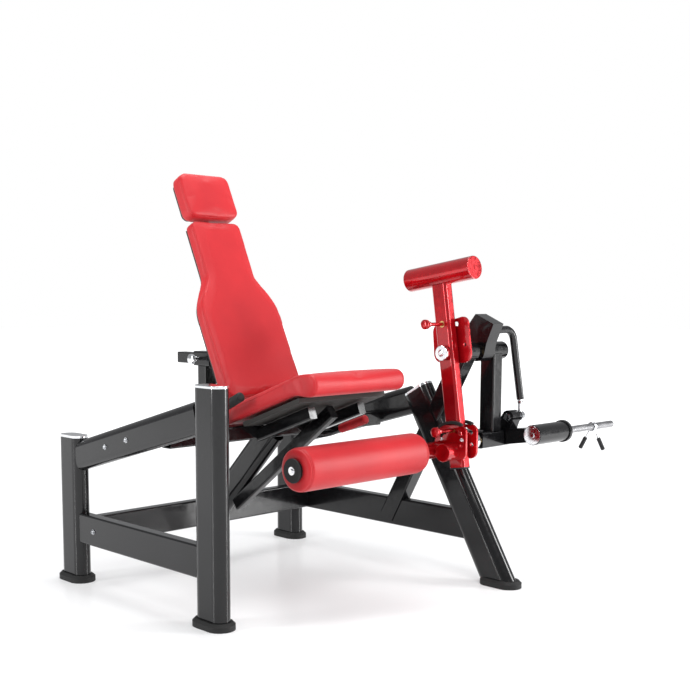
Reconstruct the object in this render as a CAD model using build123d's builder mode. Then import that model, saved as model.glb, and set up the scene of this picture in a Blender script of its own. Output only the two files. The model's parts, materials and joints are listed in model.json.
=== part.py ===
"""Plate-loaded leg extension machine: steel frame, reclined seat, swinging lever and weight arm.

Millimetres, +Z up. The user faces -Y and +X is the user's left, where the weights hang.
The origin is on the floor, under the middle of the machine's bounding box.
"""
import os
from math import cos, radians, sin

from build123d import *

os.makedirs("parts", exist_ok=True)

# --- driving dimensions -------------------------------------------------------------------
RIGHT_X = -812          # mid plane of the right side frame
LEFT_X = 176            # mid plane of the left side frame
SEAT_X = -314           # mid plane of the seat
REAR_Y = 524            # rear posts
FRONT_POST_Y = -228     # right front post
REAR_POST_H = 500
FRONT_POST_H = 710
POST_DEPTH, POST_WIDTH, POST_WALL = 120, 60, 3
FOOT_H, FOOT_RIM = 24, 15
SOLE = 6                # rubber under a post
CAP_T = 8

LEG_FOOT = (-524, 0)    # (Y, Z) of the sloping left front leg's axis
LEG_TOP = (-155, 634)
RAIL_Z, RAIL_H, RAIL_W = 188, 100, 40
CROSS_RAIL_Y = 415
BEAM_REAR = (440, 442)  # (Y, Z) on the upper beams' axis
BEAM_FRONT = (-180, 613)
LEFT_BEAM_FRONT = (-130, 599)
BEAM_DEPTH, BEAM_WIDTH = 100, 50
SEAT_TUBE = (30, 524)   # (Y, Z) of the tube that joins the upper beams
SEAT_TUBE_SIZE = 50

PIVOT = (-363, 777)     # (Y, Z) of the knee axis
LOWER_PIVOT = (-363, 470)
PIN_OFFSET = (-37, 73)  # both link pins stand this far from their pivots
SHAFT_R = 15
RUN_GAP = 0.05          # radial clearance of running fits
HOUSING_R = 31
STRUT_FOOT = (-25, 166)

LEVER_X, LEVER_WIDTH, LEVER_DEPTH = 82, 40, 60
LEVER_LEAN = 8.4        # degrees, top towards the rear
LEVER_UP, LEVER_DOWN = 228, 382
HUB_DOWN = 327          # shin hub below the knee axis, along the lever
PIN_UP = 96             # start pin above the knee axis
SHIN_PIN_UP = 70        # shin pin above the shin hub
SECTOR_T = 8
PIN_R = 6               # index pins
INDEX_R, SLOT_HALF = 8, 6.2

ROLLER_R, ROLLER_LENGTH = 70, 556
ROLLER_X = -614         # outer end of the shin roller
ROLLER_CORE_R = 24

CRANK_X, CRANK_WIDTH = 260, 56
ARM_X, ARM_WIDTH = 389, 44
HORN_R = 35
HORN_AT = (-515, 491)   # (Y, Z) of the plate horn
HORN_X0, HORN_X1, BAR_X1 = 353, 540, 857
BAR_R = 12.5
GROOVE_X = 746

SEAT_WIDTH = 410
RECLINE = 25.3          # degrees from the vertical
BACK_FOOT = (90, 632)   # (Y, Z) of the backrest's lower front edge
BACK_LENGTH, BACK_T = 662, 50
BOARD_T = 15
CLEAR = 0.4


# --- helpers ------------------------------------------------------------------------------
def save(part, name):
    part.part.label = name
    export_step(part.part, f"parts/{name}.step")


def side_point(x, yz):
    return Vector(x, yz[0], yz[1])


def along(start, end):
    """A plane at start whose Z runs to end, with its Y along the machine's X."""
    axis = Vector(*end) - Vector(*start)
    return Plane(origin=start, x_dir=Vector(1, 0, 0).cross(axis), z_dir=axis), axis.length


def solid_bar(start, end, depth, width, oval=True):
    """A filled bar between two points of a plane parallel to YZ."""
    plane, length = along(start, end)
    with BuildPart() as bar:
        with BuildSketch(plane):
            if oval:
                SlotOverall(depth, width)
            else:
                RectangleRounded(depth, width, 6)
        extrude(amount=length)
    return bar.part


def tube(start, end, depth, width, wall, oval=True, trims=()):
    """A hollow bar, cut back where it meets the solids in trims."""
    with BuildPart() as result:
        add(solid_bar(start, end, depth, width, oval))
        plane, length = along(start, end)
        with BuildSketch(plane):
            if oval:
                SlotOverall(depth - 2 * wall, width - 2 * wall)
            else:
                RectangleRounded(depth - 2 * wall, width - 2 * wall, 3)
        extrude(amount=length, mode=Mode.SUBTRACT)
        for trim in trims:
            add(trim, mode=Mode.SUBTRACT)
    return result


def cross_cylinder(x0, x1, yz, radius):
    """A solid cylinder along X."""
    with BuildPart() as cylinder:
        with BuildSketch(Plane.YZ.offset(x0)):
            with Locations(yz):
                Circle(radius)
        extrude(amount=x1 - x0)
    return cylinder.part


def cross_ring(x0, x1, yz, outer, inner):
    """A bush or collar along X."""
    with BuildPart() as ring:
        with BuildSketch(Plane.YZ.offset(x0)):
            with Locations(yz):
                Circle(outer)
                Circle(inner, mode=Mode.SUBTRACT)
        extrude(amount=x1 - x0)
    return ring


def floor_cut():
    with BuildPart() as block:
        with Locations((0, 0, SOLE - 200)):
            Box(3000, 3000, 400)
    return block.part


# --- posts, leg and feet ------------------------------------------------------------------
leg_start = side_point(LEFT_X, (LEG_FOOT[0] - 29, LEG_FOOT[1] - 50))
leg_end = side_point(LEFT_X, LEG_TOP)
leg_solid = solid_bar(leg_start, leg_end, POST_DEPTH, POST_WIDTH)
posts = {
    "right_rear_post": (RIGHT_X, REAR_Y, REAR_POST_H),
    "right_front_post": (RIGHT_X, FRONT_POST_Y, FRONT_POST_H),
    "left_rear_post": (LEFT_X, REAR_Y, REAR_POST_H),
}
post_solids = {}
for name, (x, y, height) in posts.items():
    foot, head = (x, y, SOLE), (x, y, height - CAP_T)
    post_solids[name] = solid_bar(foot, head, POST_DEPTH, POST_WIDTH)
    save(tube(foot, head, POST_DEPTH, POST_WIDTH, POST_WALL), name)
save(tube(leg_start, leg_end, POST_DEPTH, POST_WIDTH, POST_WALL, trims=[floor_cut()]),
     "left_front_leg")

with BuildPart() as post_caps:
    for x, y, height in posts.values():
        with BuildSketch(Plane.XY.offset(height - CAP_T)):
            with Locations((x, y)):
                SlotOverall(POST_DEPTH, POST_WIDTH, rotation=90)
        extrude(amount=CAP_T)
    leg_plane, leg_length = along(leg_start, leg_end)
    with BuildSketch(leg_plane.offset(leg_length)):
        SlotOverall(POST_DEPTH, POST_WIDTH)
    extrude(amount=CAP_T)
    fillet(post_caps.edges().filter_by(GeomType.CIRCLE).group_by(Axis.Z)[-1], 2)
save(post_caps, "post_caps")

with BuildPart() as rubber_feet:
    with BuildSketch() as soles:
        with Locations((RIGHT_X, REAR_Y), (RIGHT_X, FRONT_POST_Y), (LEFT_X, REAR_Y), (LEFT_X, LEG_FOOT[0])):
            SlotOverall(POST_DEPTH + 2 * FOOT_RIM, POST_WIDTH + 2 * FOOT_RIM, rotation=90)
    extrude(amount=FOOT_H)
    chamfer(rubber_feet.faces().filter_by(Axis.Z).group_by(Axis.Z)[-1].edges(), 8)
    for solid in post_solids.values():
        add(solid, mode=Mode.SUBTRACT)
    add(leg_solid - floor_cut(), mode=Mode.SUBTRACT)
save(rubber_feet, "rubber_feet")

# --- rails and beams ----------------------------------------------------------------------
right_trims = [post_solids["right_rear_post"], post_solids["right_front_post"]]
leg_axis = (leg_end - leg_start).normalized()
leg_with_cap = solid_bar(leg_start, leg_end + leg_axis * CAP_T, POST_DEPTH, POST_WIDTH)
left_trims = [post_solids["left_rear_post"], leg_with_cap]
rail_leg_y = LEG_FOOT[0] + RAIL_Z * (LEG_TOP[0] - LEG_FOOT[0]) / LEG_TOP[1]
right_rail = tube((RIGHT_X, REAR_Y, RAIL_Z), (RIGHT_X, FRONT_POST_Y, RAIL_Z), RAIL_H, RAIL_W, 3,
                  oval=False, trims=right_trims)
left_rail = tube((LEFT_X, REAR_Y, RAIL_Z), (LEFT_X, rail_leg_y, RAIL_Z), RAIL_H, RAIL_W, 3,
                 oval=False, trims=left_trims)
save(right_rail, "right_lower_rail")
save(left_rail, "left_lower_rail")

with BuildPart() as rear_cross_rail:
    with BuildSketch(Plane.YZ.offset(RIGHT_X + RAIL_W / 2)):
        with Locations((CROSS_RAIL_Y, RAIL_Z)):
            RectangleRounded(RAIL_W, RAIL_H - 4, 6)
            RectangleRounded(RAIL_W - 6, RAIL_H - 10, 3, mode=Mode.SUBTRACT)
    extrude(amount=LEFT_X - RIGHT_X - RAIL_W)
save(rear_cross_rail, "rear_cross_rail")

beam_solids = {}
for name, x, front, trims in (("right_upper_beam", RIGHT_X, BEAM_FRONT, right_trims),
                              ("left_upper_beam", LEFT_X, LEFT_BEAM_FRONT, left_trims)):
    rear, tip = side_point(x, BEAM_REAR), side_point(x, front)
    beam_axis = (tip - rear).normalized()
    rear_end = rear - beam_axis * 40
    beam_solids[name] = solid_bar(rear_end, tip, BEAM_DEPTH, BEAM_WIDTH)
    with BuildPart() as beam:
        add(tube(rear_end, tip, BEAM_DEPTH, BEAM_WIDTH, 3).part)
        add(solid_bar(tip - beam_axis * 4, tip, BEAM_DEPTH, BEAM_WIDTH))
        for trim in trims:
            add(trim, mode=Mode.SUBTRACT)
    beam_piece = beam.part.solids().sort_by(SortBy.VOLUME)[-1]
    with BuildPart() as upper_beam:
        add(beam_piece)
    save(upper_beam, name)

with BuildPart() as seat_cross_tube:
    with BuildSketch(Plane.YZ.offset(RIGHT_X)):
        with Locations(SEAT_TUBE):
            RectangleRounded(SEAT_TUBE_SIZE, SEAT_TUBE_SIZE, 6)
            RectangleRounded(SEAT_TUBE_SIZE - 6, SEAT_TUBE_SIZE - 6, 3, mode=Mode.SUBTRACT)
    extrude(amount=LEFT_X - RIGHT_X)
    for solid in beam_solids.values():
        add(solid, mode=Mode.SUBTRACT)
    # the beams are hollow, so the slivers left inside them go too
    for x in (RIGHT_X, LEFT_X):
        with Locations((x, *SEAT_TUBE)):
            Box(BEAM_WIDTH, 80, 80, mode=Mode.SUBTRACT)
save(seat_cross_tube, "seat_cross_tube")
cross_tube_solid = Box(LEFT_X - RIGHT_X, SEAT_TUBE_SIZE, SEAT_TUBE_SIZE).moved(
    Location(((LEFT_X + RIGHT_X) / 2, *SEAT_TUBE)))
cross_rail_solid = Box(LEFT_X - RIGHT_X, RAIL_W, RAIL_H - 4).moved(
    Location(((LEFT_X + RIGHT_X) / 2, CROSS_RAIL_Y, RAIL_Z)))

# --- seat post and stay -------------------------------------------------------------------
POST_LOW, POST_HIGH = (420, 160), (70, 515.5)
seat_post_solid = solid_bar(side_point(SEAT_X, POST_LOW), side_point(SEAT_X, POST_HIGH), 100, 50)
save(tube(side_point(SEAT_X, POST_LOW), side_point(SEAT_X, POST_HIGH), 100, 50, 3,
          trims=[cross_rail_solid, cross_tube_solid,
                 Box(200, 200, 200).moved(Location((SEAT_X, CROSS_RAIL_Y + 120, 160)))]),
     "seat_post")

# --- outrigger that carries the knee axis and the weight shaft -----------------------------
pivot_point = side_point(LEFT_X, PIVOT)
strut_start = side_point(LEFT_X, STRUT_FOOT)
pivot_boss = cross_cylinder(LEFT_X - 35, LEFT_X + 35, PIVOT, HOUSING_R)
rail_block = Box(RAIL_W, 1200, RAIL_H).moved(Location((LEFT_X, 0, RAIL_Z)))
beam_block = beam_solids["left_upper_beam"]
with BuildPart() as whole_strut:
    add(tube(strut_start, pivot_point, 60, 56, 3, oval=False,
             trims=[leg_with_cap, beam_block, pivot_boss, rail_block]).part)
with BuildPart() as pivot_strut:
    for piece in whole_strut.part.solids():
        if piece.volume > 20000:
            add(piece)
save(pivot_strut, "pivot_strut")

OUT_X = 317             # outrigger post
OUT_HOUSING = (292, 372)
post_boss = cross_cylinder(*OUT_HOUSING, PIVOT, HOUSING_R)
with BuildPart() as knee_housings:
    add(cross_ring(LEFT_X - 35, LEFT_X + 35, PIVOT, HOUSING_R, SHAFT_R + 6).part)
    add(cross_ring(*OUT_HOUSING, PIVOT, HOUSING_R, SHAFT_R + 6).part)
save(knee_housings, "knee_housings")
BOX = 56
with BuildPart() as weight_housing:
    with BuildSketch(Plane.YZ.offset(240)):
        with Locations(LOWER_PIVOT):
            RectangleRounded(BOX, BOX, 8)
            Circle(SHAFT_R + 6, mode=Mode.SUBTRACT)
    extrude(amount=361 - 240)
save(weight_housing, "weight_shaft_housing")
housing_block = Box(121, BOX, BOX).moved(Location((300.5, *LOWER_PIVOT)))
save(tube((OUT_X, PIVOT[0], LOWER_PIVOT[1] + BOX / 2), (OUT_X, *PIVOT), 60, 50, 3, oval=False,
          trims=[post_boss]), "outrigger_post")

# a level brace from the leg's outer face to the weight shaft housing
brace_start, brace_end = Vector(LEFT_X, -236, 480), Vector(290, -350, 480)
brace_axis = brace_end - brace_start
with BuildPart() as outrigger_brace:
    with BuildSketch(Plane(origin=brace_start, x_dir=(0, 0, 1), z_dir=brace_axis)):
        RectangleRounded(46, 40, 5)
        RectangleRounded(40, 34, 2, mode=Mode.SUBTRACT)
    extrude(amount=brace_axis.length)
    add(leg_solid, mode=Mode.SUBTRACT)
    add(solid_bar(strut_start, pivot_point, 60, 56, oval=False), mode=Mode.SUBTRACT)
    add(housing_block, mode=Mode.SUBTRACT)
    with Locations((OUT_X, PIVOT[0], 600)):
        Box(50, 60, 300, mode=Mode.SUBTRACT)
brace_piece = outrigger_brace.part.solids().sort_by(SortBy.VOLUME)[-1]
with BuildPart() as brace:
    add(brace_piece)
save(brace, "outrigger_brace")

# bearing bushes stay with the frame and run on the shafts
with BuildPart() as bearing_bushes:
    for x0, x1, yz in ((LEFT_X - 35, LEFT_X - 10, PIVOT), (LEFT_X + 10, LEFT_X + 35, PIVOT),
                       (292, 314, PIVOT), (346, 368, PIVOT),
                       (240, 262, LOWER_PIVOT), (339, 361, LOWER_PIVOT)):
        add(cross_ring(x0, x1, yz, SHAFT_R + 6, SHAFT_R + RUN_GAP).part)
save(bearing_bushes, "bearing_bushes")


# --- knee shaft, crank and start sector ----------------------------------------------------
def lever_point(distance):
    """(Y, Z) on the lever's centre line, measured up from the knee axis."""
    lean = radians(LEVER_LEAN)
    return PIVOT[0] + distance * sin(lean), PIVOT[1] + distance * cos(lean)


LEVER_X0, LEVER_X1 = LEVER_X - LEVER_WIDTH / 2, LEVER_X + LEVER_WIDTH / 2
CAP_X = 42              # outer face of the knee shaft's cap
with BuildPart() as knee_shaft:
    add(cross_cylinder(CAP_X, CAP_X + 9, PIVOT, 25))
    chamfer(knee_shaft.faces().sort_by(Axis.X)[0].edges(), 2)
    add(cross_cylinder(CAP_X - 4, CAP_X, PIVOT, 6))
    add(cross_cylinder(CAP_X + 9, 370, PIVOT, SHAFT_R))
save(knee_shaft, "knee_shaft")

hub_in, hub_out = CRANK_X - CRANK_WIDTH / 2, CRANK_X + CRANK_WIDTH / 2
link_pin = (PIVOT[0] + PIN_OFFSET[0], PIVOT[1] + PIN_OFFSET[1])
arm_pin = (LOWER_PIVOT[0] + PIN_OFFSET[0], LOWER_PIVOT[1] + PIN_OFFSET[1])
LINK_R = 13
with BuildPart() as crank_arm:
    with BuildSketch(Plane.YZ.offset(hub_in)):
        with BuildLine():
            Polyline((PIVOT[0] - 32, PIVOT[1] - 12), (PIVOT[0] - 42, PIVOT[1] + 30),
                     (PIVOT[0] - 70, PIVOT[1] + 94), (PIVOT[0] + 6, PIVOT[1] + 128),
                     (PIVOT[0] + 42, PIVOT[1] + 84), (PIVOT[0] + 40, PIVOT[1] + 30),
                     (PIVOT[0] + 32, PIVOT[1] - 12), close=True)
        make_face()
        with Locations(PIVOT):
            Circle(34)
    extrude(amount=CRANK_WIDTH)
    fillet(crank_arm.edges().filter_by(Axis.X).group_by(Axis.Z)[-1], 4)
    add(cross_cylinder(hub_in, hub_out, PIVOT, SHAFT_R), mode=Mode.SUBTRACT)
    add(cross_cylinder(hub_in, hub_out, link_pin, LINK_R + RUN_GAP), mode=Mode.SUBTRACT)
save(crank_arm, "crank_arm")


def arc_points(centre, radius, angles):
    return [(centre[0] + radius * cos(radians(a)), centre[1] + radius * sin(radians(a))) for a in angles]


def arc_band(centre, radius, half, first, last):
    """A curved strip between two angles about a centre."""
    outer = arc_points(centre, radius + half, (first, (first + last) / 2, last))
    inner = arc_points(centre, radius - half, (last, (first + last) / 2, first))
    with BuildSketch() as band:
        with BuildLine():
            ThreePointArc(*outer)
            Line(outer[2], inner[0])
            ThreePointArc(*inner)
            Line(inner[2], outer[0])
        make_face()
    return band.sketch


def sector_plate(x0, centre, outline, pin_radius, angles, small_holes):
    """A rounded plate across X, hulled around the circles in outline.

    Index holes stand at the angles, joined by a slot the pin runs in.
    """
    with BuildPart() as plate:
        with BuildSketch(Plane.YZ.offset(x0)) as shape:
            for dy, dz, radius in outline:
                with Locations((centre[0] + dy, centre[1] + dz)):
                    Circle(radius)
            make_hull()
            with Locations(*arc_points(centre, pin_radius, angles)):
                Circle(INDEX_R, mode=Mode.SUBTRACT)
            with Locations(*small_holes):
                Circle(6.2, mode=Mode.SUBTRACT)
            with Locations(centre):
                Circle(SHAFT_R, mode=Mode.SUBTRACT)
            add(arc_band(centre, pin_radius, SLOT_HALF, angles[0], angles[-1]), mode=Mode.SUBTRACT)
        extrude(amount=SECTOR_T)
    return plate.part


lever_angle = 90 - LEVER_LEAN      # direction of the lever's top in the (Y, Z) plane
START_STEP, SHIN_STEP = 16, 18
start_angles = [lever_angle + START_STEP * n for n in (-2, -1, 0, 1)]
start_outline = ((60, 66, 28), (52, -6, 30), (-38, 98, 22), (-44, -2, 30))
near_x = LEVER_X0 - 4 - SECTOR_T
far_x = LEVER_X1 + 4
with BuildPart() as start_sector:
    add(sector_plate(far_x, PIVOT, start_outline, PIN_UP, start_angles, arc_points(PIVOT, 56, (20, 45, 150))))
    add(cross_ring(CAP_X + 9, LEVER_X0 - 1, PIVOT, 24, SHAFT_R).part)
    add(cross_ring(far_x + SECTOR_T, LEFT_X - 36, PIVOT, 24, SHAFT_R).part)
save(start_sector, "start_sector")

# --- lever ---------------------------------------------------------------------------------
lever_top, lever_bottom = lever_point(LEVER_UP), lever_point(-LEVER_DOWN)
start_pin_at, hub_at = lever_point(PIN_UP), lever_point(-HUB_DOWN)
shin_pin_at = lever_point(-HUB_DOWN + SHIN_PIN_UP)
TOP_R = 38
head_half = 138
lean = radians(LEVER_LEAN)
head_a = (lever_top[0] + head_half * cos(lean), lever_top[1] + 34 - head_half * sin(lean))
head_b = (lever_top[0] - head_half * cos(lean), lever_top[1] + 34 + head_half * sin(lean))


def tilted_cylinder(a, b, x, radius):
    plane, length = along(side_point(x, a), side_point(x, b))
    with BuildPart() as result:
        with BuildSketch(plane):
            Circle(radius)
        extrude(amount=length)
    return result.part


head_solid = tilted_cylinder(head_a, head_b, LEVER_X, TOP_R)
BUSH_R = SHAFT_R + 5
with BuildPart() as lever_tube:
    plane, length = along(side_point(LEVER_X, lever_bottom), side_point(LEVER_X, lever_top))
    with BuildSketch(plane):
        RectangleRounded(LEVER_DEPTH, LEVER_WIDTH, 9)
        RectangleRounded(LEVER_DEPTH - 6, LEVER_WIDTH - 6, 6, mode=Mode.SUBTRACT)
    extrude(amount=length)
    for yz in (PIVOT, hub_at):
        add(cross_cylinder(LEVER_X0, LEVER_X1, yz, BUSH_R), mode=Mode.SUBTRACT)
    for yz in (start_pin_at, shin_pin_at):
        add(cross_cylinder(LEVER_X0, LEVER_X1, yz, 11), mode=Mode.SUBTRACT)
    add(head_solid, mode=Mode.SUBTRACT)
save(lever_tube, "lever_tube")
with BuildPart() as lever_head:
    add(head_solid)
    fillet(lever_head.edges().filter_by(GeomType.CIRCLE), 2)
save(lever_head, "lever_head")
with BuildPart() as lever_end_cap:
    plane, length = along(side_point(LEVER_X, lever_bottom), side_point(LEVER_X, lever_top))
    with BuildSketch(plane):
        RectangleRounded(LEVER_DEPTH, LEVER_WIDTH, 9)
    extrude(amount=-5)
save(lever_end_cap, "lever_end_cap")
with BuildPart() as lever_bushes:
    for yz in (PIVOT, hub_at):
        add(cross_ring(LEVER_X0, LEVER_X1, yz, BUSH_R, SHAFT_R + RUN_GAP).part)
    for yz in (start_pin_at, shin_pin_at):
        add(cross_ring(LEVER_X0, LEVER_X1, yz, 11, PIN_R + RUN_GAP).part)
save(lever_bushes, "lever_bushes")


def pull_pin(yz, knob_x, reach):
    """A spring pin along X with a stepped knob at its outer end."""
    with BuildPart() as pin:
        add(cross_cylinder(knob_x + 24, reach, yz, PIN_R))
        add(cross_cylinder(knob_x, knob_x + 16, yz, 16))
        add(cross_cylinder(knob_x + 16, knob_x + 30, yz, 10))
        chamfer(pin.faces().sort_by(Axis.X)[0].edges(), 4)
    return pin


START_KNOB_X, SHIN_KNOB_X = -30, -34
save(pull_pin(start_pin_at, START_KNOB_X, far_x + SECTOR_T + 3), "start_pin")
save(pull_pin(shin_pin_at, SHIN_KNOB_X, far_x + SECTOR_T + 3), "shin_pin")
# --- shin carrier: hub, offset roller tube, index plates ------------------------------------
ROLLER_BACK = 62        # roller tube behind the hub
roller_at = (hub_at[0] + ROLLER_BACK, hub_at[1])
HUB_R, STUB_X = 30, -2
with BuildPart() as shin_hub:
    add(cross_cylinder(STUB_X, near_x, hub_at, HUB_R))
    chamfer(shin_hub.faces().sort_by(Axis.X)[0].edges(), 1.5)
    add(cross_cylinder(near_x, far_x + SECTOR_T + 6, hub_at, SHAFT_R))
save(shin_hub, "shin_hub")
hub_solid = cross_cylinder(STUB_X, near_x, hub_at, HUB_R)
shin_angles = [lever_angle + SHIN_STEP * n for n in (-2, -1, 0, 1, 2)]
shin_outline = ((44, 60, 26), (56, 6, 22), (-34, 66, 22), (-30, 0, 26))
with BuildPart() as shin_sector:
    for x0 in (near_x, far_x):
        add(sector_plate(x0, hub_at, shin_outline, SHIN_PIN_UP, shin_angles, arc_points(hub_at, 42, (25, 150))))
save(shin_sector, "shin_sector")
with BuildPart() as roller_arm:
    add(cross_cylinder(ROLLER_X + 6, near_x, roller_at, ROLLER_CORE_R - 2))
    add(cross_cylinder(ROLLER_X + ROLLER_LENGTH + 4, near_x, roller_at, ROLLER_CORE_R + 4))
    with BuildSketch(Plane.YZ.offset(STUB_X + 8)):
        with Locations((hub_at[0] + ROLLER_BACK / 2, hub_at[1])):
            Rectangle(ROLLER_BACK, 26)
    extrude(amount=near_x - STUB_X - 8)
    add(cross_cylinder(ROLLER_X + 6, near_x, roller_at, ROLLER_CORE_R - 5), mode=Mode.SUBTRACT)
    add(hub_solid, mode=Mode.SUBTRACT)
save(roller_arm, "roller_arm")
with BuildPart() as shin_bumper:
    for x0, x1 in ((near_x - 2, LEVER_X0 - 1), (LEVER_X1 + 1, far_x + SECTOR_T + 2)):
        with BuildSketch(Plane.YZ.offset(x0)):
            add(arc_band(hub_at, 96, 4.5, lever_angle - 30, lever_angle + 30))
        extrude(amount=x1 - x0)
    add(shin_sector.part, mode=Mode.SUBTRACT)
save(shin_bumper, "shin_bumper")
with BuildPart() as sector_bolts:
    for dy, dz in ((44, 36), (-40, 42)):
        yz = (hub_at[0] + dy, hub_at[1] + dz)
        add(cross_cylinder(near_x - 6, near_x, yz, 7))
        add(cross_cylinder(far_x + SECTOR_T, far_x + SECTOR_T + 6, yz, 7))
save(sector_bolts, "sector_bolts")

# --- shin roller ----------------------------------------------------------------------------
with BuildPart() as roller_sleeve:
    add(cross_ring(ROLLER_X + 10, ROLLER_X + ROLLER_LENGTH, roller_at, ROLLER_CORE_R + 2,
                   ROLLER_CORE_R - 2 + RUN_GAP).part)
save(roller_sleeve, "roller_sleeve")
with BuildPart() as roller_pad:
    add(cross_ring(ROLLER_X + 10, ROLLER_X + ROLLER_LENGTH, roller_at, ROLLER_R, ROLLER_CORE_R + 2).part)
    fillet(roller_pad.edges().filter_by(GeomType.CIRCLE).filter_by(
        lambda edge: edge.radius > ROLLER_R - 1), 16)
save(roller_pad, "roller_pad")
with BuildPart() as roller_cap:
    add(cross_cylinder(ROLLER_X + 1, ROLLER_X + 6, roller_at, 37))
    chamfer(roller_cap.faces().sort_by(Axis.X)[0].edges(), 1.5)
save(roller_cap, "roller_end_disc")
with BuildPart() as roller_bolt:
    add(cross_cylinder(ROLLER_X - 3, ROLLER_X + 1, roller_at, 10))
    add(cross_cylinder(ROLLER_X - 7, ROLLER_X - 3, roller_at, 5))
save(roller_bolt, "roller_bolt")

# --- link rod and its end -------------------------------------------------------------------
LINK_TOP_X, LINK_LOW_X = 384, 440
with BuildPart() as link_rod:
    with BuildLine():
        FilletPolyline((hub_in, *link_pin), (LINK_TOP_X, *link_pin), (LINK_LOW_X, link_pin[0], arm_pin[1] + 60),
                       radius=46)
    with BuildSketch(Plane(origin=(hub_in, *link_pin), z_dir=(1, 0, 0))):
        Circle(LINK_R)
    sweep()
save(link_rod, "link_rod")
ARM_OUT = ARM_X + ARM_WIDTH / 2
with BuildPart() as rod_end:
    with BuildSketch(Plane(origin=(LINK_LOW_X, link_pin[0], arm_pin[1] + 60), z_dir=(0, 0, -1))):
        Circle(8)
    extrude(amount=44)
    add(cross_cylinder(LINK_LOW_X - 8, LINK_LOW_X + 8, arm_pin, 17))
    add(cross_cylinder(LINK_LOW_X - 8, LINK_LOW_X + 8, arm_pin, 7 + CLEAR), mode=Mode.SUBTRACT)
    add(link_rod.part, mode=Mode.SUBTRACT)
save(rod_end, "rod_end")

# --- weight arm, horn and collar ------------------------------------------------------------
arm_in = ARM_X - ARM_WIDTH / 2
with BuildPart() as weight_arm:
    with BuildSketch(Plane.YZ.offset(arm_in)):
        with Locations(LOWER_PIVOT):
            Circle(32)
        with Locations(arm_pin):
            Circle(24)
        make_hull()
    extrude(amount=ARM_WIDTH)
    with BuildSketch(Plane.YZ.offset(arm_in)):
        with Locations(LOWER_PIVOT):
            Circle(28)
        with Locations(HORN_AT):
            Circle(24)
        make_hull()
    extrude(amount=ARM_WIDTH)
    add(cross_cylinder(arm_in, ARM_OUT, LOWER_PIVOT, SHAFT_R), mode=Mode.SUBTRACT)
    add(cross_cylinder(HORN_X0, HORN_X1, HORN_AT, HORN_R), mode=Mode.SUBTRACT)
    add(cross_cylinder(arm_in, ARM_OUT, arm_pin, 7), mode=Mode.SUBTRACT)
save(weight_arm, "weight_arm")
with BuildPart() as weight_shaft:
    add(cross_cylinder(226, arm_in + ARM_WIDTH, LOWER_PIVOT, SHAFT_R))
save(weight_shaft, "weight_shaft")
with BuildPart() as weight_arm_caps:
    add(cross_cylinder(214, 226, LOWER_PIVOT, 29))
    add(cross_cylinder(HORN_X0 - 3, HORN_X0, HORN_AT, HORN_R - 2))
    add(cross_cylinder(HORN_X0 - 6, HORN_X0 - 3, HORN_AT, 9))
save(weight_arm_caps, "weight_arm_caps")
with BuildPart() as arm_bolt:
    add(cross_cylinder(arm_in - 4, arm_in, arm_pin, 13))
    add(cross_cylinder(arm_in, LINK_LOW_X + 8, arm_pin, 7))
    add(cross_cylinder(LINK_LOW_X + 8 + CLEAR, LINK_LOW_X + 16, arm_pin, 11))
    add(cross_cylinder(ARM_OUT, LINK_LOW_X - 8 - CLEAR, arm_pin, 11))
    add(cross_cylinder(LINK_LOW_X + 8, LINK_LOW_X + 9, arm_pin, 7))
save(arm_bolt, "arm_bolt")
with BuildPart() as horn_sleeve:
    add(cross_cylinder(HORN_X0, HORN_X1, HORN_AT, HORN_R))
    add(cross_cylinder(HORN_X1 - 12, HORN_X1, HORN_AT, HORN_R + 4))
    add(cross_cylinder(HORN_X0, HORN_X1, HORN_AT, BAR_R), mode=Mode.SUBTRACT)
save(horn_sleeve, "horn_sleeve")
with BuildPart() as horn_bar:
    add(cross_cylinder(HORN_X0, BAR_X1, HORN_AT, BAR_R))
    chamfer(horn_bar.faces().sort_by(Axis.X)[-1].edges(), 2)
    # a stop groove marks where the plates' end of the bar begins
    add(cross_ring(GROOVE_X, GROOVE_X + 2, HORN_AT, BAR_R + 1, BAR_R - 0.6).part, mode=Mode.SUBTRACT)
save(horn_bar, "horn_bar")
COLLAR_X = 720
WIRE_R = 2.5
with BuildPart() as spring_collar:
    add(cross_ring(COLLAR_X, COLLAR_X + 20, HORN_AT, BAR_R + 5, BAR_R + 0.08).part)
    for x, angle in ((COLLAR_X + 4, -62), (COLLAR_X + 16, -118)):
        start = arc_points(HORN_AT, BAR_R + 2, (angle,))[0]
        end = arc_points(HORN_AT, 95, (angle,))[0]
        add(tilted_cylinder(start, end, x, WIRE_R))
        grip_start = arc_points(HORN_AT, 48, (angle,))[0]
        add(tilted_cylinder(grip_start, end, x, 8))
save(spring_collar, "spring_collar")

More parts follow.
